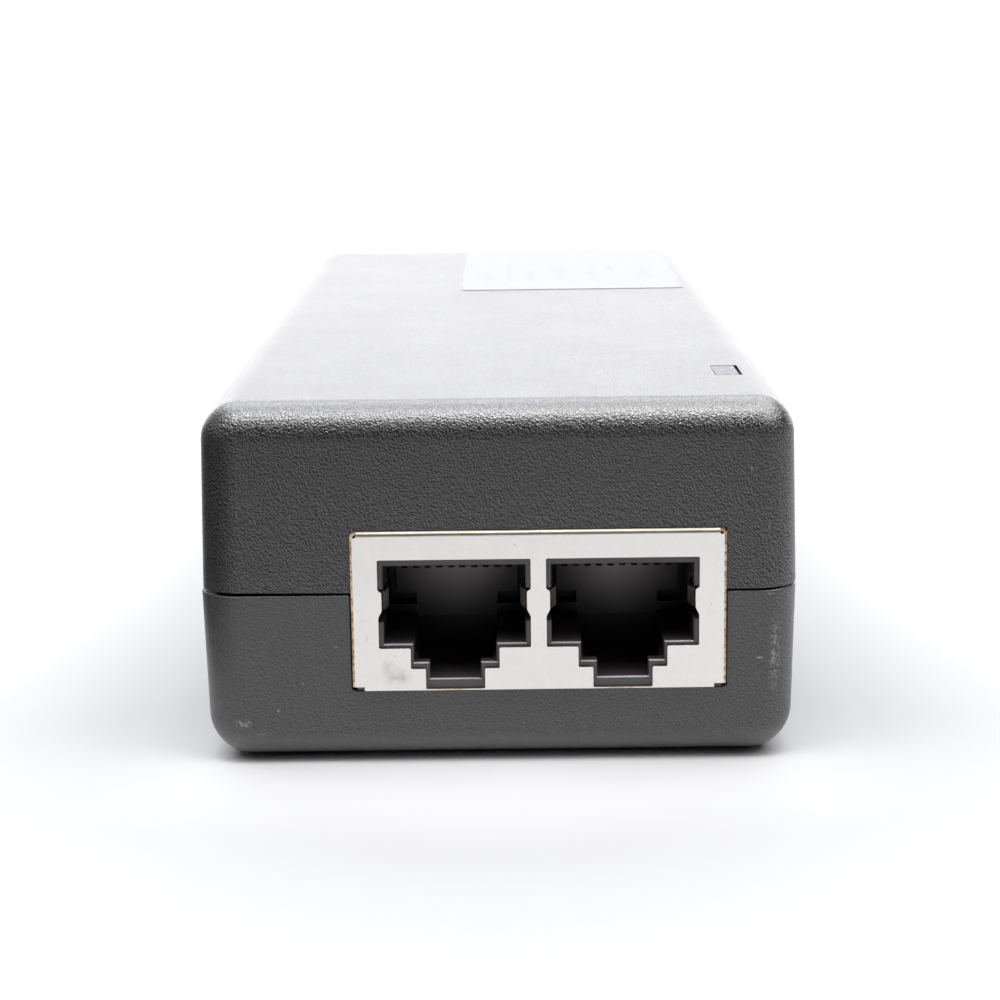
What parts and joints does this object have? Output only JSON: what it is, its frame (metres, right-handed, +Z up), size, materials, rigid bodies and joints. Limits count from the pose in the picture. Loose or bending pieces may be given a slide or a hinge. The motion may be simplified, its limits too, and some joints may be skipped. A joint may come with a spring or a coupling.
{
  "type": "PoE injector",
  "caption": "Black mains PoE injector brick: grained two-shell case, shielded pair of modular network ports in front, C14 inlet behind, light window and blank label on top.",
  "frame": {"origin": "centre of the footprint, on the underside", "axes": "+Z up, +Y along the length towards the mains inlet, so the network ports face -Y; +X to the right as seen from the ports"},
  "size_m": [0.05, 0.1244, 0.0307],
  "materials": {
    "case_plastic": "fine leather grain, satin",
    "label": "smooth paper-like film",
    "light_window": "milky clear",
    "screw_steel": "zinc plated",
    "shield_nickel": "satin nickel plate, brassy cut edges",
    "jack_plastic": "smooth moulded",
    "inlet_plastic": "smooth moulded",
    "pin_nickel": "nickel plate",
    "board": "green solder mask",
    "film": "insulating film",
    "epoxy": "moulded epoxy",
    "ceramic_blue": "lacquered",
    "film_capacitor": "smooth",
    "ferrite": "sintered",
    "copper_winding": "lacquered copper",
    "tape": "polyester tape",
    "capacitor_sleeve": "shrink sleeve",
    "heatsink_aluminium": "mill finish",
    "contact_gold": "gold flash"
  },
  "bodies": {
    "case": {"lower_shell": "case_plastic", "upper_shell": "case_plastic", "top_label": "label", "light_pipe": "light_window", "case_screw_1": "screw_steel", "case_screw_2": "screw_steel", "case_screw_3": "screw_steel", "case_screw_4": "screw_steel", "jack_shield": "shield_nickel", "jack_housing": "jack_plastic", "left_contact_carrier": "jack_plastic", "right_contact_carrier": "jack_plastic", "inlet_housing": "inlet_plastic", "inlet_pin_line": "pin_nickel", "inlet_pin_neutral": "pin_nickel", "inlet_pin_earth": "pin_nickel", "main_board": "board", "insulation_sheet": "film", "status_led": "light_window", "fuse": "epoxy", "varistor": "ceramic_blue", "x_capacitor": "film_capacitor", "choke_core": "ferrite", "choke_winding_a": "copper_winding", "choke_winding_b": "copper_winding", "bridge_rectifier": "epoxy", "bulk_capacitor": "capacitor_sleeve", "primary_heatsink": "heatsink_aluminium", "switching_transistor": "epoxy", "pwm_controller": "epoxy", "transformer_core": "ferrite", "transformer_winding": "tape", "y_capacitor": "ceramic_blue", "optocoupler": "epoxy", "secondary_heatsink": "heatsink_aluminium", "output_diode": "epoxy", "output_capacitor_1": "capacitor_sleeve", "output_capacitor_2": "capacitor_sleeve", "output_inductor": "copper_winding", "poe_controller": "epoxy", "data_transformer": "epoxy"},
    "left_contacts": {"left_contact_1": "contact_gold", "left_contact_2": "contact_gold", "left_contact_3": "contact_gold", "left_contact_4": "contact_gold", "left_contact_5": "contact_gold", "left_contact_6": "contact_gold", "left_contact_7": "contact_gold", "left_contact_8": "contact_gold"},
    "right_contacts": {"right_contact_1": "contact_gold", "right_contact_2": "contact_gold", "right_contact_3": "contact_gold", "right_contact_4": "contact_gold", "right_contact_5": "contact_gold", "right_contact_6": "contact_gold", "right_contact_7": "contact_gold", "right_contact_8": "contact_gold"}
  },
  "joints": [
    {"name": "left_contacts_flex", "type": "hinge", "parent": "case", "child": "left_contacts", "pos_m": [-0.00369, -0.06, 0.0185], "axis": [1, 0, 0], "range_deg": [0, 9], "stiffness_Nm_per_rad": 0.3, "springref_deg": -5.73},
    {"name": "right_contacts_flex", "type": "hinge", "parent": "case", "child": "right_contacts", "pos_m": [0.01029, -0.06, 0.0185], "axis": [1, 0, 0], "range_deg": [0, 9], "stiffness_Nm_per_rad": 0.3, "springref_deg": -5.73}
  ]
}
